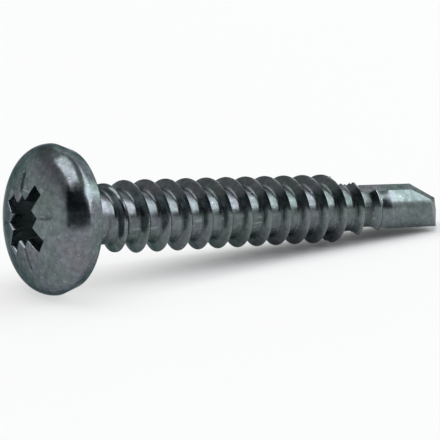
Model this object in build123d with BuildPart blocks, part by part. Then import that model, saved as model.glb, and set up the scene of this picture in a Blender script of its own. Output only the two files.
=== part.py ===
from build123d import *
from math import asin, atan, atan2, cos, degrees, hypot, radians, sin, sqrt, tan
import os

# Self-drilling screw, 4.8 x 32: pan head, cross recess with extra ribs, tapping thread and
# two-flute drill point, all of one piece. It is shaped upright, with its axis on Z, the bearing
# face of the head at z = 0 and the point downwards, and is laid down at the end.
# Sizes are in millimetres and degrees. Directions about the axis are measured from +X.

# --- head -----------------------------------------------------------------------------------------
head_diameter = 9.45
head_height = 3.28
crown_radius = 8.9
shoulder_radius = 1.5
bearing_diameter = 8.74
underhead_chamfer = 0.5

# --- shank and thread -----------------------------------------------------------------------------
length = 30.8  # bearing face to tip
neck_diameter = 3.75
neck_length = 0.9  # plain, below the chamfer under the head
neck_runout = 0.9  # cone from the neck down to the thread's root
thread_diameter = 4.7
root_diameter = 3.44
pitch = 1.6
thread_angle = 60
first_full_thread = 4.3  # below the bearing face, where the crest reaches its full diameter
last_full_thread = 22.0
thread_end = 24.1  # lower end of the spiral, in one of the flutes
thread_end_direction = -45
first_height = 0.02  # of the crest above the neck, at the chamfer under the head

# --- cross recess ---------------------------------------------------------------------------------
recess_direction = 51  # of one wing
wing_span = 5.0  # tip to tip, at the height of the crown
wing_width = 0.98
wing_depth = 2.0
wing_end_slope = 26.5  # from the axis
wing_draft = 3
rib_square = 2.46  # square pocket whose corners are the grooves between the wings
rib_depth = 1.5
rib_draft = 12
core_diameter = 2.3
core_depth = 2.35
core_draft = 6
tick_start = 1.9  # radial marks on the crown, between the wings
tick_end = 3.05
tick_width = 0.3
tick_depth = 0.13

# --- drill point ----------------------------------------------------------------------------------
drill_diameter = 4.1
drill_start = 24.7  # below the bearing face, where the shank has the drill's diameter
point_angle = 118  # between the lips
relief_angle = 42  # fall of each lobe's end face behind its lip
lip_direction = -37.5  # of one lip's outer corner
flute_opening = 98  # from a lip's corner round to the other lobe's heel
web = 0.6  # between the two rake faces
flute_floor = 0.15  # from the foot of the rake face to the flute's deepest line
flute_fillet = 0.35
flute_start = 23.6  # below the bearing face, where the flutes have their full depth
flute_runout = 3.1  # radius of the flute's end
flute_end_arc = 80
heel_bevel_direction = 84
heel_bevel_slope = 68
heel_bevel_rise = 0.15  # of the bevel's plane past the tip, on the axis

# --- sizes that follow ----------------------------------------------------------------------------
head_radius = head_diameter / 2
neck_radius = neck_diameter / 2
thread_radius = thread_diameter / 2
root_radius = root_diameter / 2
drill_radius = drill_diameter / 2
clear = 1.0  # how far each cutting solid reaches past the metal that it cuts

# The crown's arc is tangent to the shoulder's, which ends at the head's widest circle. From there
# the side draws in straight to the bearing face.
crown_center = head_height - crown_radius
shoulder_center = head_radius - shoulder_radius
widest = crown_center + sqrt((crown_radius - shoulder_radius) ** 2 - shoulder_center**2)
crown_arc = degrees(atan2(shoulder_center, widest - crown_center))

# The ridge's foot is buried in the shank.
foot_radius = root_radius - 0.2
neck_end = underhead_chamfer + neck_length
turns = int((thread_end - neck_end) / pitch)


# --- head and shank, turned -----------------------------------------------------------------------
with BuildPart() as blank:
    with BuildSketch(Plane.XZ):
        with BuildLine():
            CenterArc((0, crown_center), crown_radius, 90 - crown_arc, crown_arc)
            CenterArc((shoulder_center, widest), shoulder_radius, 0, 90 - crown_arc)
            Polyline(
                (head_radius, widest),
                (bearing_diameter / 2, 0),
                (neck_radius + underhead_chamfer, 0),
                (neck_radius, -underhead_chamfer),
                (neck_radius, -neck_end),
                (root_radius, -neck_end - neck_runout),
                (root_radius, -last_full_thread),
                (drill_radius, -drill_start),
                (drill_radius, -length),
                (0, -length),
                (0, head_height),
            )
        make_face()
    revolve(axis=Axis.Z)

# --- thread, rolled -------------------------------------------------------------------------------
# One turn of the right-hand ridge, of triangular section. Turns are stacked end to end.
with BuildPart() as ridge:
    with BuildLine():
        spiral = Helix(pitch=pitch, height=pitch, radius=root_radius)
    with BuildSketch(Plane.XZ):
        half_foot = (thread_radius - foot_radius) * tan(radians(thread_angle / 2))
        with BuildLine():
            Polyline(
                (foot_radius, -half_foot), (thread_radius, 0), (foot_radius, half_foot), close=True
            )
        make_face()
    sweep(path=spiral, is_frenet=True)

# What is outside two cones trims the ridge, so that its crest fades in from the neck and out
# into the drill's diameter.
with BuildPart() as trimming:
    with BuildSketch(Plane.XZ):
        first_radius = neck_radius + first_height
        fade_in = (thread_radius - first_radius) / (first_full_thread - underhead_chamfer)
        with BuildLine():
            Polyline(
                (head_radius, -underhead_chamfer),
                (first_radius, -underhead_chamfer),
                (thread_radius + clear * fade_in, -first_full_thread - clear),
                (head_radius, -first_full_thread - clear),
                close=True,
            )
        make_face()
        fade_out = (thread_radius - drill_radius) / (drill_start - last_full_thread)
        with BuildLine():
            Polyline(
                (head_radius, -last_full_thread + clear),
                (thread_radius + clear * fade_out, -last_full_thread + clear),
                (drill_radius, -drill_start),
                (drill_radius, -length - clear),
                (head_radius, -length - clear),
                close=True,
            )
        make_face()
    revolve(axis=Axis.Z)

# --- cross recess ---------------------------------------------------------------------------------
# A straight pocket from above the crown to its bottom. Seen from the side and from its end it is
# a trapezoid, drawn in towards the bottom.
def drafted(depth, span, span_draft, width, width_draft):
    with BuildPart() as pocket:
        for view, size, draft, mode in (
            (Plane.XZ, span, span_draft, Mode.ADD),
            (Plane.YZ, width, width_draft, Mode.INTERSECT),
        ):
            half_mouth = size / 2 + clear * tan(radians(draft))
            half_bottom = size / 2 - depth * tan(radians(draft))
            with BuildSketch(view):
                with BuildLine():
                    Polyline(
                        (-half_mouth, head_height + clear),
                        (half_mouth, head_height + clear),
                        (half_bottom, head_height - depth),
                        (-half_bottom, head_height - depth),
                        close=True,
                    )
                make_face()
            extrude(amount=head_diameter, both=True, mode=mode)
    return pocket.part


wing_pair = drafted(wing_depth, wing_span, wing_end_slope, wing_width, wing_draft)
square_pocket = drafted(rib_depth, rib_square, rib_draft, rib_square, rib_draft)
with BuildPart() as recess:
    add(wing_pair, rotation=(0, 0, recess_direction))
    add(wing_pair, rotation=(0, 0, recess_direction + 90))
    # The square pocket's corners point between the wings.
    add(square_pocket, rotation=(0, 0, recess_direction))
    with BuildSketch(Plane.XZ):
        mouth_radius = core_diameter / 2 + clear * tan(radians(core_draft))
        floor_radius = core_diameter / 2 - core_depth * tan(radians(core_draft))
        with BuildLine():
            Polyline(
                (0, head_height + clear),
                (mouth_radius, head_height + clear),
                (floor_radius, head_height - core_depth),
                (0, head_height - core_depth),
                close=True,
            )
        make_face()
    revolve(axis=Axis.Z)

# A V-shaped mark cut along the crown's slope. There are four, between the wings.
with BuildPart() as tick:
    middle = (tick_start + tick_end) / 2
    slope = asin(middle / crown_radius)
    across = Plane(
        origin=(tick_start, 0, crown_center + sqrt(crown_radius**2 - tick_start**2)),
        x_dir=(0, 1, 0),
        z_dir=(cos(slope), 0, -sin(slope)),
    )
    with BuildSketch(across):
        half_top = tick_width / 2 * (1 + clear / tick_depth)
        with BuildLine():
            Polyline((-half_top, clear), (0, -tick_depth), (half_top, clear), close=True)
        make_face()
    extrude(amount=(tick_end - tick_start) / cos(slope))

# --- drill point ----------------------------------------------------------------------------------
# One flute: a V between the rake face of one lobe and the heel of the other. The rake face is
# parallel to the lip, half the web ahead of the axis. The V runs straight up from the tip and
# then swings outwards.
heel = lip_direction - flute_opening
rake_direction = lip_direction + degrees(asin(web / 2 / drill_radius))
middle_direction = (lip_direction + heel) / 2
with BuildPart() as flute:
    foot = Vector(web / 2, 0).rotate(Axis.Z, rake_direction - 90)
    rake = Vector(1, 0).rotate(Axis.Z, rake_direction)
    root = foot + rake * flute_floor
    heel_wall = (Vector(drill_radius, 0).rotate(Axis.Z, heel) - root).normalized()
    reach = flute_runout / cos(radians(flute_opening / 2))
    with BuildSketch(Plane.XY.offset(-flute_start)) as opening:
        with BuildLine():
            Polyline(root, root + rake * reach, root + heel_wall * reach, close=True)
        make_face()
        fillet(opening.vertices().sort_by_distance(root)[0], flute_fillet)
        with Locations(Location((0, 0), middle_direction)):
            Rectangle(
                flute_runout, 2 * reach, align=(Align.MIN, Align.CENTER), mode=Mode.INTERSECT
            )
    extrude(amount=-(length - flute_start + clear))
    swing_center = Vector(flute_runout, 0, -flute_start).rotate(Axis.Z, middle_direction)
    swing_direction = Vector(0, 1, 0).rotate(Axis.Z, middle_direction)
    add(opening.sketch)
    revolve(axis=Axis(swing_center, swing_direction), revolution_arc=flute_end_arc)

# Beside each heel a bevel opens the flute towards the tip. Its plane is steep and faces away
# from the axis.
with BuildPart() as heel_bevel:
    bevel_top = -length - heel_bevel_rise
    bevel_reach = drill_diameter
    with BuildSketch(Plane.XZ.rotated((0, 0, heel_bevel_direction))):
        with BuildLine():
            Polyline(
                (0, bevel_top),
                (bevel_reach, bevel_top + bevel_reach * tan(radians(heel_bevel_slope))),
                (bevel_reach, bevel_top - clear),
                (0, bevel_top - clear),
                close=True,
            )
        make_face()
    extrude(amount=bevel_reach)

# The two end faces meet in a ridge over the axis, like a roof. Where they run out at the rake
# faces they form the lips.
with BuildPart() as roof:
    lip_fall = 1 / tan(radians(point_angle / 2))
    relief_fall = tan(radians(relief_angle))
    fall_direction = lip_direction + degrees(atan2(relief_fall, lip_fall))
    fall = hypot(lip_fall, relief_fall)
    with BuildSketch(Plane.XZ.rotated((0, 0, fall_direction))):
        with BuildLine():
            Polyline(
                (0, -length),
                (drill_diameter, -length + fall * drill_diameter),
                (drill_diameter, -length - clear),
                (-drill_diameter, -length - clear),
                (-drill_diameter, -length + fall * drill_diameter),
                close=True,
            )
        make_face()
    extrude(amount=drill_diameter, both=True)

# --- the whole screw ------------------------------------------------------------------------------
with BuildPart() as upright:
    add(blank.part)
    with Locations(*[(0, 0, -thread_end + pitch * number) for number in range(turns)]):
        add(ridge.part, rotation=(0, 0, thread_end_direction))
    add(trimming.part, mode=Mode.SUBTRACT)
    add(recess.part, mode=Mode.SUBTRACT)
    with PolarLocations(0, 4, start_angle=recess_direction + 45):
        add(tick.part, mode=Mode.SUBTRACT)
    with PolarLocations(0, 2):
        add(flute.part, mode=Mode.SUBTRACT)
        add(heel_bevel.part, mode=Mode.SUBTRACT)
    add(roof.part, mode=Mode.SUBTRACT)

# Lying down, the screw rests on the head's widest circle and on the last full crest of the
# thread. Its head then points towards -X, and +X of the upright screw towards -Y.
tilt = atan((head_radius - thread_radius) / (widest + last_full_thread))
laid = Plane(origin=(0, 0, 0), x_dir=(0, -1, 0), z_dir=(-cos(tilt), 0, sin(tilt)))
lying = upright.part.moved(laid.location)
box = lying.bounding_box()
with BuildPart(Plane((-box.center().X, -box.center().Y, -box.min.Z))) as screw:
    add(lying)

screw.part.label = "screw"
os.makedirs("parts", exist_ok=True)
export_step(screw.part, "parts/screw.step")
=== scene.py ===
from math import asin, atan, atan2, cos, degrees, hypot, pi, radians, sin, sqrt, tan

import bpy
import numpy as np
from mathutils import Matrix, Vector


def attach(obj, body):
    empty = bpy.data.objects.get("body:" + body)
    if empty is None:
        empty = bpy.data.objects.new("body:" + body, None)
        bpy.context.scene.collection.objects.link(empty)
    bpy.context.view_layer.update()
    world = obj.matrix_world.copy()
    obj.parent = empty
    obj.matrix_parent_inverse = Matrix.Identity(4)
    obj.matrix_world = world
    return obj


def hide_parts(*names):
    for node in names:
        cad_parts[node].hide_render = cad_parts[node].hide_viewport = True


# Self-drilling screw of dull zinc-plated steel, lying on its side as it comes to rest. The screw
# is worked out upright, in millimetres: the axis is Z, the tip is down, the bearing face is
# z = 0, +X is the side that ends up near the camera and +Y is the side that ends up on top.
# laid_down() turns it on its side, and MM puts it into metres. In the functions, below is a
# distance below the bearing face and depth is one below the crown's top. Directions are in
# degrees about the axis, from +X towards +Y, and local ones start from a wing of the recess.
MM = 0.001

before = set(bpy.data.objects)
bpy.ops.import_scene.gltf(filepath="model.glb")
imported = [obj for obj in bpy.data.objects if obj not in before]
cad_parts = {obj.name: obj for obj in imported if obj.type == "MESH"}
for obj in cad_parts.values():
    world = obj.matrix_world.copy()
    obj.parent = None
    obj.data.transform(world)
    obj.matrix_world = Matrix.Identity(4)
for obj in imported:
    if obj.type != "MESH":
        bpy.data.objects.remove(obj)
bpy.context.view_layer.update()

# --- camera ---------------------------------------------------------------------------------------
camera_azimuth = 35.003  # from +Y towards +X, the way the camera looks
camera_drop = 13.662  # below the horizontal
camera_distance = 118.982
camera_target = (-2.0195, 0.0, 2.8927)
camera_lens = 147.27
sensor_width = 36.0


def add_camera():
    """Looks at the target from the distance, turned by the azimuth and the drop."""
    azimuth = radians(camera_azimuth)
    drop = radians(camera_drop)
    look = Vector((sin(azimuth) * cos(drop), cos(azimuth) * cos(drop), -sin(drop)))
    data = bpy.data.cameras.new("camera")
    data.lens = camera_lens
    data.sensor_width = sensor_width
    data.clip_start = 0.005
    data.clip_end = 10.0
    camera = bpy.data.objects.new("camera", data)
    camera.location = (Vector(camera_target) - look * camera_distance) * MM
    camera.rotation_euler = look.to_track_quat("-Z", "Y").to_euler()
    bpy.context.scene.collection.objects.link(camera)
    bpy.context.scene.camera = camera


add_camera()

# --- sizes ----------------------------------------------------------------------------------------
# head
head_radius = 4.725
head_height = 3.28
crown_radius = 8.9
shoulder_radius = 1.5
bearing_radius = 4.37
underhead_chamfer = 0.5
rim_rounding = 0.1

# drill point
length = 30.796  # bearing face to tip, a hair less than the solid's
drill_radius = 2.05
point_angle = 118.0  # between the lips
relief_angle = 42.0  # fall of each lobe's end face behind its lip
lip_direction = -37.5
flute_opening = 98.0  # from a lip's corner round to the other lobe's heel
web = 0.6  # between the two rake faces
flute_floor = 0.15  # from the foot of the rake face to the flute's deepest line
flute_fillet = 0.35
flute_start = 23.6  # below, where the flutes have their full depth
flute_runout = 3.1  # radius of the arc on which a flute swings out
heel_bevel_direction = 84.0
heel_bevel_slope = 68.0
heel_bevel_rise = 0.15
edge_rounding = 0.03
least_bevel = 0.05  # of a bevel's slope beyond the end face's

# shank and thread
neck_radius = 1.875
neck_end = 1.4
neck_runout = 0.9  # cone from the neck down to the thread's root
thread_radius = 2.35
root_radius = 1.72
pitch = 1.6
thread_angle = 60.0
thread_turns = 14
first_full_thread = 4.3
last_full_thread = 22.0
thread_end = 24.1
thread_end_direction = -45.0
first_height = 0.02  # of the crest above the neck, under the head
last_height = 0.13  # of the crest above the drill's radius, at the thread's end
start_slope = 0.05  # turns over which the ridge rises where it starts
end_slope = 0.04  # turns over which it falls at its end
ridge_sunk = 0.15  # of the ridge under the blank's surface, past its start and its end
crest_rounding = 0.03
root_rounding = 0.05
root_lift = 0.02  # of its rounding, by which the root is lifted half way between two crests
widening_below = (22.8, 24.0, 24.9)  # where the core widens to the drill's radius
widening_radius = 1.86  # at the middle one

# cross recess
recess_direction = 60.0  # of a wing
wing_span = 5.2
wing_width = 0.98
wing_depth = 2.0
wing_end_slope = 26.5  # from the axis
wing_draft = 3.0
rib_square = 2.46  # square whose corners are the grooves between the wings
rib_depth = 1.5
rib_draft = 12.0
core_radius = 1.15
core_depth = 2.35
core_draft = 6.0
mouth_rounding = 0.09
mouth_edge = ((0.12, 0.55), (0.35, 0.2), (1.0, 0.0))  # outwards and down, shares of the rounding

# radial ticks on the crown
tick_start = 1.75
tick_end = 3.05
tick_width = 0.4
tick_depth = 0.15
tick_end_slope = 0.12  # length over which each end rises to the crown
faint_strike = 0.4  # depth of the ticks at the local directions 135 and 315, as a share

# height of the crown's centre, radius and height of the shoulder's, and half the angle that the
# crown takes up as seen from its centre
crown_center = head_height - crown_radius
shoulder_center = head_radius - shoulder_radius
widest = crown_center + sqrt((crown_radius - shoulder_radius) ** 2 - shoulder_center**2)
crown_arc = atan2(shoulder_center, widest - crown_center)

# falls of the end faces along the lip and behind it, and the direction in which they fall most
lip_fall = 1 / tan(radians(point_angle / 2))
relief_fall = tan(radians(relief_angle))
fall_direction = lip_direction + degrees(atan2(relief_fall, lip_fall))

# --- rows and columns of the surface --------------------------------------------------------------
sector_columns = (12, 12, 21)  # from a wing's middle to its corner, to its foot, to 45 degrees
wing_rows = 4  # of the recess: between the wings' floors and the grooves'
wall_rows = 9  # from there to the mouth
crown_rows = 25
shoulder_rows = 17
rim_rows = 6
side_rows = (0.3, 0.6, 0.85)  # shares of the head's side
# from the bearing face to the neck: below, and radius beyond the chamfer's wide end
underhead_rows = (
    (0.0, 0.12),
    (0.03, 0.01),
    (0.12, -0.11),
    (0.38, -0.36),
    (0.5, -0.46),
    (0.62, -0.493),
)
neck_row = 0.75  # below, the level ring above the rows that follow the crest
drill_row = 25.2  # below, the level ring under them
ring_gap = 0.03  # rows past a level ring, or closer to it than this, join it
crest_turns = np.arange(thread_turns + 1, -3, -1)  # from above the thread's start to below its end
# below each turn of the crest, and above it where negative
crest_rows = (-0.8, -0.58, -0.44, -0.37, -0.3, -0.17, -0.06, 0, 0.06, 0.17, 0.3, 0.37, 0.44, 0.58)
point_rows = 9  # down the drill's walls to their edge
crease_reach = 0.98  # of the end face's radius; a crease further out is left out
even_column = 2.0  # degrees between the shank's columns
bevel_columns = (-0.02, 0.02)  # degrees to both sides of where a bevel stops
edge_columns = (0.15, 0.45, 0.9, 1.6, 2.6, 4, 6)  # degrees to both sides of an edge
nearest_column = 0.8  # degrees; an even column closer than this to one of those is left out

# searches and limits
mouth_rounds = 20  # between depth and radius, to find the recess's mouth
halvings = 26  # of the interval in which a flute's wall is found
beyond_thread = 0.3  # where that interval ends, outside the thread
past_screw = 1000.0  # radius that stands for no crease
least_sine = 1e-9  # stands for 0 where a size is divided by a sine
same_place = 5  # decimals to which coinciding points agree


def around(radius, direction, height):
    """Points at a radius and a direction about the axis, at a height above z = 0."""
    angle = np.radians(direction)
    radius, angle, height = np.broadcast_arrays(radius, angle, height)
    return np.stack((radius * np.cos(angle), radius * np.sin(angle), height), axis=-1)


def smooth_max(a, b, rounding):
    """The larger of two values, rounded where they cross: half of their sum and of the
    hypotenuse of their difference and the rounding."""
    return (a + b + np.sqrt((a - b) ** 2 + rounding**2)) / 2


def smooth_min(a, b, rounding):
    """The smaller of two values, rounded in the same way."""
    return (a + b - np.sqrt((a - b) ** 2 + rounding**2)) / 2


# --- head -----------------------------------------------------------------------------------------
def crown_height(radius):
    """Height of the crown's sphere at a distance from the axis."""
    return crown_center + np.sqrt(crown_radius**2 - radius**2)


def recess_sizes(depth):
    """Half a wing's span and width, half the square's side and the core's radius. Each shrinks
    evenly with the depth, by its draft."""
    half_span = wing_span / 2 - depth * tan(radians(wing_end_slope))
    half_width = wing_width / 2 - depth * tan(radians(wing_draft))
    half_square = rib_square / 2 - depth * tan(radians(rib_draft))
    core = core_radius - depth * tan(radians(core_draft))
    return half_span, half_width, half_square, core


def recess_slice(depth, local):
    """Distances from the axis to the walls of the recess. A wing is a rectangle, so its wall is
    at half its span over the cosine or half its width over the sine, whichever is nearer. The
    square's wall is at half its side over the cosine, and the core is a circle."""
    half_span, half_width, half_square, core = recess_sizes(depth)
    cosine = np.abs(np.cos(np.radians(local)))
    sine = np.abs(np.sin(np.radians(local)))
    longer = np.maximum(cosine, sine)
    shorter = np.minimum(cosine, sine) + least_sine
    wing = np.minimum(half_span / longer, half_width / shorter)
    return wing, half_square / longer, core


def recess_outline(depth, local):
    """The furthest of the three walls, above the grooves' floors."""
    wing, square, core = recess_slice(depth, local)
    return np.maximum(np.maximum(wing, square), core)


def recess_columns(depth, under_grooves=False):
    """Directions of all columns. An eighth of the turn is split at the wing's corner and at its
    foot, where its side meets the groove, or the core under the grooves' floors. The eighth is
    mirrored and repeated."""
    half_span, half_width, half_square, core = recess_sizes(depth)
    corner = degrees(atan2(half_width, half_span))
    if under_grooves:
        foot = degrees(asin(half_width / core))
    else:
        foot = degrees(atan2(half_width, half_square))
    to_corner, to_foot, to_middle = sector_columns
    eighth = np.concatenate(
        (
            np.linspace(0, corner, to_corner, endpoint=False),
            np.linspace(corner, foot, to_foot, endpoint=False),
            np.linspace(foot, 45, to_middle, endpoint=False),
        )
    )
    quarter = np.concatenate((eighth, 90 - np.append(eighth[1:], 45)[::-1]))
    return np.concatenate([quarter + turn for turn in (0, 90, 180, 270)])


def tick_groove(radius, local):
    """Depth of the V-shaped ticks struck in the crown, half way between the wings. It falls
    evenly from a tick's middle line to its sides, and to its ends over their slope. Two
    opposite ticks are struck fainter."""
    aside = np.radians((local % 90) - 45)
    along = radius * np.cos(aside)
    across = np.abs(radius * np.sin(aside))
    inner_end = np.clip((along - tick_start) / tick_end_slope, 0, 1)
    outer_end = np.clip((tick_end - along) / tick_end_slope, 0, 1)
    strike = np.where(local % 180 < 90, 1.0, faint_strike)
    section = np.clip(1 - across / (tick_width / 2), 0, 1)
    return tick_depth * strike * (inner_end * outer_end) * section


def recess_rows():
    """Rows of points from the recess's floor up to the start of its rounded mouth, and the
    mouth's directions and radii. The mouth is where the walls meet the crown, found by going
    from the depth to the radius and back a few times."""
    rows = []
    # core, up to the wings' floors
    local = recess_columns(wing_depth, under_grooves=True)
    for depth in (core_depth, (core_depth + wing_depth) / 2, wing_depth):
        core = recess_sizes(depth)[-1]
        rows.append(around(core, local, head_height - depth))
    # wings and core, up to the grooves' floors
    for depth in np.linspace(wing_depth, rib_depth, wing_rows):
        local = recess_columns(depth, under_grooves=True)
        wing, square, core = recess_slice(depth, local)
        rows.append(around(np.maximum(wing, core), local, head_height - depth))
    # wings and grooves, up to the mouth
    mouth = recess_columns(0)
    mouth_depth = np.zeros(len(mouth))
    for _ in range(mouth_rounds):
        mouth_radius = recess_outline(mouth_depth, mouth)
        mouth_depth = head_height - crown_height(mouth_radius)
    foot = recess_columns(rib_depth)
    for step in np.linspace(0, 1, wall_rows):
        local = foot + (mouth - foot) * step
        depth = rib_depth + (mouth_depth + mouth_rounding - rib_depth) * step
        rows.append(around(recess_outline(depth, local), local, head_height - depth))
    return rows, mouth, mouth_radius


def shoulder_profile():
    """Radius and height from the crown's edge to the bearing face: the shoulder's arc, the
    straight side that draws in, and the arc of the rim that is tangent to both."""
    profile = []
    for angle in np.linspace(pi / 2 - crown_arc, 0, shoulder_rows)[1:]:
        radius = shoulder_center + shoulder_radius * cos(angle)
        profile.append((radius, widest + shoulder_radius * sin(angle)))
    for part in side_rows:
        radius = head_radius - (head_radius - bearing_radius) * part
        profile.append((radius, widest * (1 - part)))
    draw = atan2(head_radius - bearing_radius, widest)
    rim_center = bearing_radius - rim_rounding * tan((pi / 2 - draw) / 2)
    for angle in np.linspace(-draw, -pi / 2, rim_rows):
        radius = rim_center + rim_rounding * cos(angle)
        profile.append((radius, rim_rounding + rim_rounding * sin(angle)))
    return profile


def head_rows():
    """Rows of points round the axis, from the floor of the recess up its walls, over the crown
    and the shoulder and down the side to the bearing face. The crown follows its sphere, with
    the ticks taken off, and its rows run evenly from the mouth to the shoulder."""
    rows, local, mouth_radius = recess_rows()
    ticked = len(rows) + 1
    for outwards, drop in mouth_edge:
        radius = mouth_radius + mouth_rounding * outwards
        rows.append(around(radius, local, crown_height(radius) - mouth_rounding * drop))
    crown_edge = crown_radius * sin(crown_arc)
    start = mouth_radius + mouth_rounding
    for step in np.linspace(0, 1, crown_rows)[1:]:
        radius = start + (crown_edge - start) * step
        rows.append(around(radius, local, crown_height(radius)))
    crown = slice(ticked, len(rows))
    for radius, height in shoulder_profile():
        rows.append(around(radius, local, height))
    rows = np.array(rows)
    x, y = rows[crown, :, 0], rows[crown, :, 1]
    rows[crown, :, 2] -= tick_groove(np.hypot(x, y), np.degrees(np.arctan2(y, x)))
    return rows


# --- shank, thread and flutes ---------------------------------------------------------------------
def blank_radius(below):
    """Radius of the turned blank, straight between these: chamfer under the head, neck, cone to
    the root of the thread, root, and two steps out to the drill's radius."""
    return np.interp(
        below,
        (0, underhead_chamfer, neck_end, neck_end + neck_runout, *widening_below),
        (neck_radius + underhead_chamfer, neck_radius, neck_radius, root_radius)
        + (root_radius, widening_radius, drill_radius),
    )


def crest_turn(below, direction):
    """How many turns above the thread's lower end, whole numbers on the crest."""
    return (thread_end - below) / pitch - (direction - thread_end_direction) / 360


def threaded_radius(below, direction):
    """Radius of the threaded blank. The ridge falls from its crest by the distance beside it
    over the tangent of half the thread's angle, with the distance taken as a hyperbola that
    rounds the crest. Cones limit it where it fades in from the neck and out towards the drill,
    and it sinks into the blank past both ends of the spiral. The foot of the ridge is rounded,
    and the small lift that this gives the root is taken off."""
    turn = crest_turn(below, direction)
    nearest = np.round(turn)
    beside = np.abs(turn - nearest) * pitch
    steep = 1 / tan(radians(thread_angle / 2))
    ridge = thread_radius + (crest_rounding - np.hypot(beside, crest_rounding)) * steep
    first_radius = neck_radius + first_height
    fade_in = (thread_radius - first_radius) / (first_full_thread - underhead_chamfer)
    fade_out = (thread_radius - last_height - drill_radius) / (thread_end - last_full_thread)
    limit_in = first_radius + fade_in * (below - underhead_chamfer)
    limit_out = thread_radius - fade_out * (below - last_full_thread)
    ridge = smooth_min(ridge, np.minimum(limit_in, limit_out), crest_rounding)
    blank = blank_radius(below)
    along = nearest + (direction - thread_end_direction) / 360
    present = np.clip((thread_turns - along) / start_slope, 0, 1)
    present = np.minimum(present, np.clip((along + end_slope / 2) / end_slope, 0, 1))
    present = present * present * (3 - 2 * present)
    ridge = blank - ridge_sunk + (ridge - blank + ridge_sunk) * present
    return smooth_max(blank, ridge, root_rounding) - root_rounding * root_lift


def flute_radius(below, direction):
    """Distance from the axis to the wall of the flutes. A flute is a V between the rake face and
    the heel of the next lobe, its bottom rounded to a hyperbola. Above its full depth it swings
    outwards on an arc. All of that is measured along the flute's middle direction and across
    it, and in each direction the wall is found by halving an interval."""
    heel = lip_direction - flute_opening
    middle = (lip_direction + heel) / 2
    rake = radians(lip_direction - middle) + asin(web / 2 / drill_radius)
    root = np.array((web / 2 * sin(rake), -web / 2 * cos(rake)))
    root = root + flute_floor * np.array((cos(rake), sin(rake)))
    heel_angle = radians(heel - middle)
    to_heel = drill_radius * np.array((cos(heel_angle), sin(heel_angle))) - root
    rake_run = 1 / tan(rake)
    heel_run = -to_heel[0] / to_heel[1]
    even = (rake_run + heel_run) / 2
    half_angle = atan(1 / even)
    soft = flute_fillet * (1 / sin(half_angle) - 1) / even
    rise = np.maximum(flute_start - below, 0)
    local = np.radians((direction - middle + 90) % 180 - 90)
    low = np.zeros(np.broadcast(below, direction).shape)
    high = low + thread_radius + beyond_thread
    for _ in range(halvings):
        radius = (low + high) / 2
        across = radius * np.sin(local) - root[1]
        along = radius * np.cos(local)
        wall = root[0] + (rake_run - heel_run) / 2 * across + even * np.hypot(across, soft)
        swing = flute_runout - wall
        swung = flute_runout - np.sqrt(np.maximum(swing**2 - rise**2, 0))
        metal = (along < swung) | (swing < rise)
        low = np.where(metal, radius, low)
        high = np.where(metal, high, radius)
    return (low + high) / 2


def shank_radius(below, direction):
    """The smaller of the threaded blank's radius and the flutes' walls, its edges rounded."""
    thread = threaded_radius(below, direction)
    return smooth_min(thread, flute_radius(below, direction), edge_rounding)


def end_below(radius, direction):
    """How far below the bearing face the end is, and the radius of the crease in it. Two faces
    fall to both sides from the chisel edge over the axis, and beside the heels steeper bevels
    open the flutes. The crease is where a bevel starts, and past the screw where none does."""
    fall = hypot(lip_fall, relief_fall) * np.abs(np.cos(np.radians(direction - fall_direction)))
    steep = tan(radians(heel_bevel_slope)) * np.abs(
        np.cos(np.radians(direction - heel_bevel_direction))
    )
    bevelled = (direction - heel_bevel_direction + 90) % 180 < 90
    roof = length - fall * radius
    bevel = np.where(bevelled, length + heel_bevel_rise - steep * radius, roof)
    steeper = np.maximum(steep - fall, least_bevel)
    creased = bevelled & (steep > fall + least_bevel)
    crease = np.where(creased, heel_bevel_rise / steeper, past_screw)
    return np.minimum(roof, bevel), crease


def shank_columns():
    """Directions of the shank's columns: evenly spaced, and closer beside the edges of the
    flutes, the chisel edge and the bevels."""
    closer = np.array(edge_columns)
    closer = np.concatenate((-closer[::-1], closer))
    half = np.concatenate(
        (
            lip_direction + closer,
            lip_direction - flute_opening + closer,
            (fall_direction + 90,),
            heel_bevel_direction + np.array(bevel_columns),
            (heel_bevel_direction - 90,),
        )
    )
    special = np.sort(np.concatenate((half, half + 180)) % 360)
    even = np.arange(0, 360, even_column)
    gap = np.abs((even[:, None] - special[None, :] + 180) % 360 - 180).min(axis=1)
    return np.sort(np.concatenate((special, even[gap > nearest_column])))


# --- one closed surface ---------------------------------------------------------------------------
def grid_triangles(ids):
    """Two triangles for each cell of a grid of vertex numbers, none where corners coincide. Rows
    run from the recess over the head to the tip, columns anticlockwise seen from the head."""
    a, b, c, d = ids[:-1, :-1], ids[1:, :-1], ids[1:, 1:], ids[:-1, 1:]
    cells = np.concatenate(
        (np.stack((a, b, c), -1).reshape(-1, 3), np.stack((a, c, d), -1).reshape(-1, 3))
    )
    a, b, c = cells.T
    return cells[(a != b) & (b != c) & (c != a)]


def closed(ids):
    """A grid's vertex numbers with the first column repeated behind the last."""
    return np.concatenate((ids, ids[:, :1]), axis=1)


def fan(ring, pole, pole_last):
    """Triangles from a ring to a pole, which is the grid's last row or its first."""
    following = np.roll(ring, -1)
    center = np.full(len(ring), pole)
    if pole_last:
        return np.stack((ring, center, following), -1)
    return np.stack((center, ring, following), -1)


def zipper(upper, upper_direction, lower, lower_direction):
    """Triangles between two rings of different numbers of columns. Each ring's edge takes the
    vertex of the other ring that the sweep round the axis has reached."""
    next_upper = np.append(upper_direction[1:], upper_direction[0] + 360)
    next_lower = np.append(lower_direction[1:], lower_direction[0] + 360)
    reached = np.searchsorted(next_lower, next_upper, side="left") % len(lower)
    first = np.stack((upper, lower[reached], np.roll(upper, -1)), -1)
    reached = np.searchsorted(next_upper, next_lower, side="right") % len(upper)
    second = np.stack((lower, np.roll(lower, -1), upper[reached]), -1)
    return np.concatenate((first, second))


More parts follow.
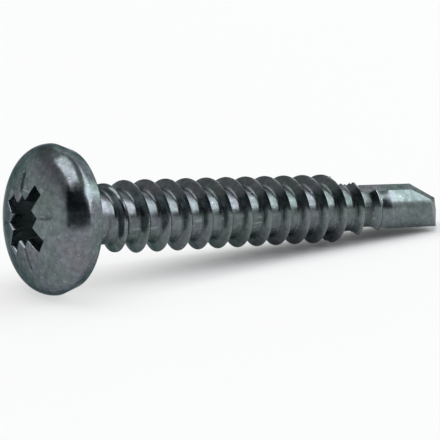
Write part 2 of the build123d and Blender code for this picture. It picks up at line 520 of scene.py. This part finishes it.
class Surface:
    """Points and triangles, gathered block by block from the recess to the tip."""

    def __init__(self):
        self.points = []
        self.triangles = []
        self.count = 0

    def put(self, block):
        """Adds a block of points and gives their numbers, in the block's own shape."""
        block = np.asarray(block, float)
        flat = block.reshape(-1, 3)
        ids = self.count + np.arange(len(flat)).reshape(block.shape[:-1])
        self.points.append(flat)
        self.count += len(flat)
        return ids

    def merged(self):
        """Everything as two arrays. Points that coincide become one, and the triangles between
        them go."""
        points = np.concatenate(self.points)
        triangles = np.concatenate(self.triangles)
        _, first, same = np.unique(
            np.round(points, same_place), axis=0, return_index=True, return_inverse=True
        )
        triangles = same.ravel()[triangles]
        a, b, c = triangles.T
        return points[first], triangles[(a != b) & (b != c) & (c != a)]


def add_head(surface):
    """Turns the head's rows to the recess's direction. Gives the ring at the bearing face: its
    vertex numbers and directions, sorted by direction."""
    rows = head_rows()
    floor = surface.put([[0, 0, head_height - core_depth]])
    angle = radians(recess_direction)
    x, y = rows[..., 0], rows[..., 1]
    turned = (x * cos(angle) - y * sin(angle), x * sin(angle) + y * cos(angle), rows[..., 2])
    turned = np.stack(turned, axis=-1)
    ids = surface.put(turned)
    surface.triangles.append(fan(ids[0], floor[0], pole_last=False))
    surface.triangles.append(grid_triangles(closed(ids)))
    direction = np.degrees(np.arctan2(turned[-1, :, 1], turned[-1, :, 0])) % 360
    order = np.argsort(direction)
    return ids[-1][order], direction[order]


def level_ring(below, columns):
    """A ring of the shank's surface, all at one distance below the bearing face."""
    return around(shank_radius(np.full(len(columns), below), columns), columns, -below)


def add_neck(surface, columns, head_ring, head_directions):
    """Rings from the bearing face over the rounded chamfer to the neck. Gives the last one."""
    wide_end = neck_radius + underhead_chamfer
    rings = [around(wide_end + beyond, columns, -below) for below, beyond in underhead_rows]
    rings.append(level_ring(neck_row, columns))
    ids = surface.put(rings)
    surface.triangles.append(zipper(head_ring, head_directions, ids[0], columns))
    surface.triangles.append(grid_triangles(closed(ids)))
    return ids[-1]


def add_thread(surface, columns, neck_ring):
    """A grid whose rows follow the crest, so that each falls by one pitch in one turn. What
    lies past the level rings above and below joins them. Gives the ring below."""
    crest = thread_end + pitch * thread_end_direction / 360 - pitch * crest_turns
    first_column = (crest[:, None] + np.array(crest_rows)[None, :]).ravel()
    below = first_column[:, None] - pitch * columns[None, :] / 360
    above = below < neck_row + ring_gap
    beyond = below > drill_row - ring_gap
    free = ~(above | beyond)
    radius = shank_radius(below, np.broadcast_to(columns, below.shape))
    ids = np.zeros(below.shape, int)
    ids[free] = surface.put(around(radius, columns[None, :], -below)[free])
    drill_ring = surface.put(level_ring(drill_row, columns))
    ids[above] = np.broadcast_to(neck_ring, below.shape)[above]
    ids[beyond] = np.broadcast_to(drill_ring, below.shape)[beyond]
    # past the last column a row goes on as the first column of the row one turn higher up
    wrap = np.full(len(ids), neck_ring[0])
    wrap[len(crest_rows) :] = ids[: -len(crest_rows), 0]
    surface.triangles.append(grid_triangles(np.concatenate((ids, wrap[:, None]), axis=1)))
    return drill_ring


def add_point(surface, columns, drill_ring):
    """The drill's straight walls, down to the edge of its end faces, and the end faces, with a
    ring on the crease and one half way to each side of it. Columns without a crease have the
    middle ring half way out."""
    wall = shank_radius(np.full(len(columns), drill_row), columns)
    rim, crease = end_below(wall, columns)
    steps = np.linspace(0, 1, point_rows)[1:, None]
    below = drill_row + (rim - drill_row)[None, :] * steps
    wall_ids = surface.put(around(wall[None, :], columns[None, :], -below))
    surface.triangles.append(grid_triangles(closed(np.vstack((drill_ring[None, :], wall_ids)))))
    crease = np.where(crease < wall * crease_reach, crease, wall / 2)
    rings = [
        around(radius, columns, -end_below(radius, columns)[0])
        for radius in (crease + (wall - crease) / 2, crease, crease / 2)
    ]
    ids = surface.put(rings)
    surface.triangles.append(grid_triangles(closed(np.vstack((wall_ids[-1:], ids)))))
    tip = surface.put([[0, 0, -length]])
    surface.triangles.append(fan(ids[-1], tip[0], pole_last=True))


def screw_surface():
    """The upright screw: recess, head, shank with thread and flutes, and drill point."""
    surface = Surface()
    head_ring, head_directions = add_head(surface)
    columns = shank_columns()
    neck_ring = add_neck(surface, columns, head_ring, head_directions)
    drill_ring = add_thread(surface, columns, neck_ring)
    add_point(surface, columns, drill_ring)
    return surface.merged()


bearing_place = -13.693  # along X, where the axis passes through the bearing face
box_middle = (0, 0, 4.7)
box_fit = (0.9997, 0.9989, 0.9997)  # a hair smaller, to stay inside the solid's box


def laid_down(points):
    """Turns the screw on its side. It lies on the head's widest circle and the last full crest
    of the thread, so the axis dips by the difference of their radii over their distance."""
    tilt = atan((head_radius - thread_radius) / (widest + last_full_thread))
    turned = np.array(((0, -1, 0), (sin(tilt), 0, cos(tilt)), (-cos(tilt), 0, sin(tilt))))
    axis_start = np.array((bearing_place, 0, head_radius * cos(tilt) - widest * sin(tilt)))
    lying = points @ turned + axis_start
    middle = np.array(box_middle)
    return middle + (lying - middle) * box_fit


# --- nodes of materials and light -----------------------------------------------------------------
class Nodes:
    """Short ways to add and link the nodes of a material or of the world."""

    def __init__(self, owner):
        owner.use_nodes = True
        self.tree = owner.node_tree
        self.coordinates = self.add("ShaderNodeTexCoord").outputs

    def add(self, kind, **settings):
        """A new node with these settings."""
        node = self.tree.nodes.new(kind)
        for key, value in settings.items():
            setattr(node, key, value)
        return node

    def put(self, socket, value):
        """Links another node's output to a socket, or sets the socket itself."""
        if isinstance(value, bpy.types.NodeSocket):
            self.tree.links.new(value, socket)
        else:
            socket.default_value = value

    def attribute(self, name):
        """A value that the mesh has for each of its points."""
        return self.add("ShaderNodeAttribute", attribute_name=name).outputs["Fac"]

    def math(self, operation, a, b=0.0):
        """One step of arithmetic."""
        node = self.add("ShaderNodeMath", operation=operation)
        self.put(node.inputs[0], a)
        self.put(node.inputs[1], b)
        return node.outputs[0]

    def split(self, vector):
        """The three parts of a vector."""
        node = self.add("ShaderNodeSeparateXYZ")
        self.put(node.inputs[0], vector)
        return node.outputs

    def smooth(self, value, start, end, low=0.0, high=1.0):
        """Runs from low to high while the value runs from start to end, level at both."""
        node = self.add("ShaderNodeMapRange", interpolation_type="SMOOTHSTEP")
        self.put(node.inputs["Value"], value)
        node.inputs["From Min"].default_value = start
        node.inputs["From Max"].default_value = end
        node.inputs["To Min"].default_value = low
        node.inputs["To Max"].default_value = high
        return node.outputs[0]

    def stretch(self, grain, turn):
        """The place on the piece, turned and with a grain of its own along each axis."""
        node = self.add("ShaderNodeMapping")
        self.put(node.inputs["Vector"], self.coordinates["Object"])
        node.inputs["Rotation"].default_value = [radians(angle) for angle in turn]
        node.inputs["Scale"].default_value = grain
        return node.outputs[0]

    def noise(self, grain, detail=3.0, roughness=0.5, place=None):
        """Soft noise over the piece, the grain in patches per metre."""
        node = self.add("ShaderNodeTexNoise")
        self.put(node.inputs["Vector"], place or self.coordinates["Object"])
        node.inputs["Scale"].default_value = grain
        node.inputs["Detail"].default_value = detail
        node.inputs["Roughness"].default_value = roughness
        return node.outputs["Fac"]

    def ramp(self, value, *stops):
        """Colour or grey by value; each stop is a value and a colour or a number."""
        node = self.add("ShaderNodeValToRGB")
        self.put(node.inputs[0], value)
        elements = node.color_ramp.elements
        while len(elements) < len(stops):
            elements.new(0.5)
        for element, (position, color) in zip(elements, stops):
            element.position = position
            if not isinstance(color, tuple):
                color = (color, color, color)
            element.color = (*color, 1)
        return node.outputs[0]

    def mix(self, factor, a, b, kind="MIX"):
        """Two colours mixed, or multiplied."""
        node = self.add("ShaderNodeMix", data_type="RGBA", blend_type=kind)
        self.put(node.inputs["Factor"], factor)
        for socket, value in ((node.inputs[6], a), (node.inputs[7], b)):
            self.put(socket, (*value, 1) if isinstance(value, tuple) else value)
        return node.outputs[2]


# --- zinc-plated steel ----------------------------------------------------------------------------
# grain is in patches per metre, and a stop is a value of the noise and what it stands for
edge_tint = (0.3, 0.34, 0.34, 1)
cast_grain = 420
cast_stops = (
    (0.36, (0.114, 0.142, 0.140)),
    (0.47, (0.137, 0.163, 0.165)),
    (0.56, (0.142, 0.161, 0.178)),
    (0.68, (0.158, 0.162, 0.178)),
)
mottle_grain = 2600
mottle_stops = ((0.3, 0.78), (0.5, 1.05), (0.7, 1.4))
rubbed_color = (0.21, 0.23, 0.23)
rubbed_grain = 1500
rubbed_stops = ((0.3, 0.35), (0.6, 1.0))
# painted shade: a darker colour at the foot of the thread's flanks and in the ticks
painted_shade_color = (0.045, 0.048, 0.045)
painted_shade_share = 0.6
# painted light: a paler colour inside the recess
painted_light_color = (0.34, 0.39, 0.39)
painted_light_share = 0.8
scratch_color = (0.34, 0.36, 0.36)
scratch_share = 0.55
scratch_sets = (  # grain along each axis, and turn about each in degrees
    ((260, 5200, 5200), (0, 6, 14)),
    ((5200, 320, 5200), (18, 0, -12)),
)
scratch_stops = ((0.66, 0.0), (0.72, 1.0))
polish_grain = 1900
polish_stops = ((0.3, 0.14), (0.7, 0.30))
dull_roughness = 0.18  # added where shade is painted at the thread's foot and in the ticks, and light in the recess
wave_grain = 900
pit_grain = 6000
pit_height = 0.18  # of a wave's
scratch_height = 0.06
relief_strength = 0.35
relief_height = 0.00002  # metres


def zinc_steel():
    """Dull zinc over steel: dark grey with a cast from green to blue, mottled, rubbed bright on
    the crests, with painted shade at the foot of the thread and in the ticks and painted light
    in the recess, with fine scratches and a slightly uneven surface."""
    material = bpy.data.materials.new("zinc_plated_steel")
    n = Nodes(material)
    shader = n.tree.nodes["Principled BSDF"]
    shader.inputs["Metallic"].default_value = 1.0
    shader.inputs["Specular Tint"].default_value = edge_tint

    color = n.ramp(n.noise(cast_grain, 2), *cast_stops)
    mottle = n.ramp(n.noise(mottle_grain, 4, 0.6), *mottle_stops)
    color = n.mix(1.0, color, mottle, "MULTIPLY")
    rubbed = n.ramp(n.noise(rubbed_grain), *rubbed_stops)
    rubbed = n.math("MULTIPLY", n.attribute("rubbed"), rubbed)
    color = n.mix(rubbed, color, rubbed_color)
    # painted shade: darker at the foot of the thread and in the ticks
    painted_shade = n.attribute("painted_shade")
    color = n.mix(n.math("MULTIPLY", painted_shade, painted_shade_share), color, painted_shade_color)
    # painted light: paler inside the recess
    painted_light = n.attribute("painted_light")
    color = n.mix(n.math("MULTIPLY", painted_light, painted_light_share), color, painted_light_color)
    scratches = [
        n.ramp(n.noise(1.0, 2, 0.5, n.stretch(grain, turn)), *scratch_stops)
        for grain, turn in scratch_sets
    ]
    scratches = n.math("MAXIMUM", *scratches)
    color = n.mix(n.math("MULTIPLY", scratches, scratch_share), color, scratch_color)
    n.put(shader.inputs["Base Color"], color)

    rough = n.ramp(n.noise(polish_grain, 3, 0.6), *polish_stops)
    dull = n.math("MULTIPLY", n.math("MAXIMUM", painted_shade, painted_light), dull_roughness)
    n.put(shader.inputs["Roughness"], n.math("ADD", rough, dull))

    pits = n.math("MULTIPLY", n.noise(pit_grain, 3, 0.6), pit_height)
    height = n.math("ADD", n.noise(wave_grain), pits)
    height = n.math("SUBTRACT", height, n.math("MULTIPLY", scratches, scratch_height))
    bump = n.add("ShaderNodeBump")
    bump.inputs["Strength"].default_value = relief_strength
    bump.inputs["Distance"].default_value = relief_height
    n.put(bump.inputs["Height"], height)
    n.put(shader.inputs["Normal"], bump.outputs[0])
    return material


# --- screw ----------------------------------------------------------------------------------------
rubbed_start = 0.09  # inside the full crest's radius
rubbed_run = 0.07  # from there to full rubbing
rubbed_along = ((0, 3, 24, 25.8), (0, 1, 1, 0))  # below, and the share of rubbing there
foot_rise = 0.06  # above the root's radius, where the painted shade at the foot of the ridge is darkest
foot_run = 0.08  # from there to no painted shade
foot_along = (2, 24)  # below
tick_shade_gain = 1.6  # more than 1, so that a tick's painted shade is full before its full depth
painted_light_start = 0.45  # depth, where the painted light in the recess starts
painted_light_run = 0.8  # from there to the full painted light
sharp_angle = 38.0  # edges with a greater turn stay sharp


def finish_shares(points):
    """How much each point of the upright screw is rubbed, or given painted shade or painted
    light, from 0 to 1: the crests of the thread are rubbed, the foot of each flank and the ticks
    get painted shade, and the recess gets painted light."""
    radius = np.hypot(points[:, 0], points[:, 1])
    direction = np.degrees(np.arctan2(points[:, 1], points[:, 0]))
    below = -points[:, 2]
    on_head = below < 0
    crest = np.clip((radius - (thread_radius - rubbed_start)) / rubbed_run, 0, 1)
    # painted shade at the foot of each flank, and in the ticks below
    foot = np.clip(1 - np.abs(radius - root_radius - foot_rise) / foot_run, 0, 1)
    threaded = (below > foot_along[0]) & (below < foot_along[1])
    ticks = tick_groove(radius, direction - recess_direction) / tick_depth
    ticks = np.clip(ticks * tick_shade_gain, 0, 1)
    # painted light inside the recess, growing with depth
    painted_light = np.clip((head_height - painted_light_start + below) / painted_light_run, 0, 1)
    return {
        "rubbed": crest * np.interp(below, *rubbed_along),
        "painted_shade": np.maximum(foot * threaded, ticks * on_head),
        "painted_light": painted_light * on_head * (radius < wing_span / 2),
    }


def add_screw():
    """Puts the screw's surface, laid on its side, and its finish into one piece."""
    points, triangles = screw_surface()
    mesh = bpy.data.meshes.new("screw_skin")
    mesh.vertices.add(len(points))
    mesh.vertices.foreach_set("co", (laid_down(points) * MM).ravel())
    mesh.loops.add(triangles.size)
    mesh.loops.foreach_set("vertex_index", triangles.ravel())
    mesh.polygons.add(len(triangles))
    mesh.polygons.foreach_set("loop_start", np.arange(0, triangles.size, 3))
    mesh.update(calc_edges=True)
    mesh.validate()
    for name, values in finish_shares(points).items():
        layer = mesh.attributes.new(name, "FLOAT", "POINT")
        layer.data.foreach_set("value", values.astype(np.float32))
    mesh.materials.append(zinc_steel())
    mesh.shade_smooth()
    mesh.set_sharp_from_angle(angle=radians(sharp_angle))
    piece = bpy.data.objects.new("screw_skin", mesh)
    bpy.context.scene.collection.objects.link(piece)
    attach(piece, "root")
    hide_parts("screw")


add_screw()


# --- floor ----------------------------------------------------------------------------------------
# lengths are in metres here
floor_reach = 1.0
floor_color = (0.82, 0.82, 0.82, 1)
floor_roughness = 0.8
white_near = 0.03  # share of white seen close beside the shank
white_more = 0.57  # and how much more elsewhere
near_beside = (0.0012, 0.0045)  # to either side of the shank's line, from near to elsewhere
near_along = (0.004, -0.014)  # along X, towards the head


def add_floor():
    """A pale floor. The camera, and reflections with it, see it partly as white, less so close
    to where the shank touches it."""
    mesh = bpy.data.meshes.new("floor")
    corners = np.array(((-1, -1, 0), (1, -1, 0), (1, 1, 0), (-1, 1, 0))) * floor_reach
    mesh.from_pydata(corners, [], [(0, 1, 2, 3)])
    piece = bpy.data.objects.new("floor", mesh)
    bpy.context.scene.collection.objects.link(piece)

    material = bpy.data.materials.new("pale_floor")
    n = Nodes(material)
    shader = n.tree.nodes["Principled BSDF"]
    shader.inputs["Base Color"].default_value = floor_color
    shader.inputs["Roughness"].default_value = floor_roughness
    shader.inputs["Specular IOR Level"].default_value = 0.0
    path = n.add("ShaderNodeLightPath").outputs
    seen = n.math("MAXIMUM", path["Is Camera Ray"], path["Is Glossy Ray"])
    place = n.split(n.coordinates["Object"])
    beside = n.smooth(n.math("ABSOLUTE", place["Y"]), *near_beside)
    elsewhere = n.math("MAXIMUM", beside, n.smooth(place["X"], *near_along))
    white = n.math("ADD", n.math("MULTIPLY", elsewhere, white_more), white_near)
    mixed = n.add("ShaderNodeMixShader")
    n.put(mixed.inputs[0], n.math("MULTIPLY", seen, white))
    n.put(mixed.inputs[1], shader.outputs[0])
    n.put(mixed.inputs[2], n.add("ShaderNodeEmission").outputs[0])
    n.put(n.tree.nodes["Material Output"].inputs["Surface"], mixed.outputs[0])
    mesh.materials.append(material)


add_floor()


# --- light ----------------------------------------------------------------------------------------
lamp_distance = 2.0  # metres


def add_lamp(name, azimuth, height, half_angles, brightness, color=(1, 1, 1)):
    """A large soft box. Azimuth is from +X towards +Y, height is above the horizontal, and the
    half angles are half of its width and height as seen from the screw. Its energy is its
    brightness times pi times its area."""
    data = bpy.data.lights.new(name, "AREA")
    data.shape = "RECTANGLE"
    data.size = 2 * lamp_distance * tan(radians(half_angles[0]))
    data.size_y = 2 * lamp_distance * tan(radians(half_angles[1]))
    data.energy = brightness * pi * data.size * data.size_y
    data.color = color
    azimuth, height = radians(azimuth), radians(height)
    towards = Vector((cos(azimuth) * cos(height), sin(azimuth) * cos(height), sin(height)))
    light = bpy.data.objects.new(name, data)
    light.location = towards * lamp_distance
    light.rotation_euler = (-towards).to_track_quat("-Z", "Y").to_euler()
    bpy.context.scene.collection.objects.link(light)


add_lamp("overhead", 170, 80, (24, 22), 2.45)
add_lamp("side", -27, 34, (27, 17), 3.5, (0.94, 0.98, 1.0))
add_lamp("behind", 40, 36, (25, 20), 0.75)

wall_strength = 0.34
low_wall = 2.9  # brightness low down, against 1 higher up
low_wall_end = (0.15, 0.5)  # sines of the heights between which it fades
dark_wall_color = (0.07, 0.08, 0.09)
dark_wall_turn = 8.0  # degrees from straight behind the camera
dark_wall_edge = (0.36, 0.50)  # cosines of the angles where the white ends and the dark starts


def add_walls():
    """White walls all round, brighter lower down, and a dark wall behind the camera. The dark
    one is found by the cosine of the angle from the camera's side."""
    world = bpy.data.worlds.new("studio")
    bpy.context.scene.world = world
    n = Nodes(world)
    direction = n.coordinates["Generated"]
    azimuth = radians(camera_azimuth - dark_wall_turn)
    behind = n.add("ShaderNodeVectorMath", operation="DOT_PRODUCT")
    n.put(behind.inputs[0], direction)
    n.put(behind.inputs[1], (-sin(azimuth), -cos(azimuth), 0))
    white_end, dark_start = dark_wall_edge
    color = n.ramp(behind.outputs["Value"], (white_end, 1.0), (dark_start, dark_wall_color))
    level = n.smooth(n.split(direction)["Z"], *low_wall_end, low_wall, 1.0)
    walls = n.add("ShaderNodeVectorMath", operation="SCALE")
    n.put(walls.inputs[0], color)
    n.put(walls.inputs["Scale"], level)
    background = n.tree.nodes["Background"]
    n.put(background.inputs["Color"], walls.outputs[0])
    n.put(background.inputs["Strength"], wall_strength)


add_walls()

scene = bpy.context.scene
scene.view_settings.view_transform = "Standard"
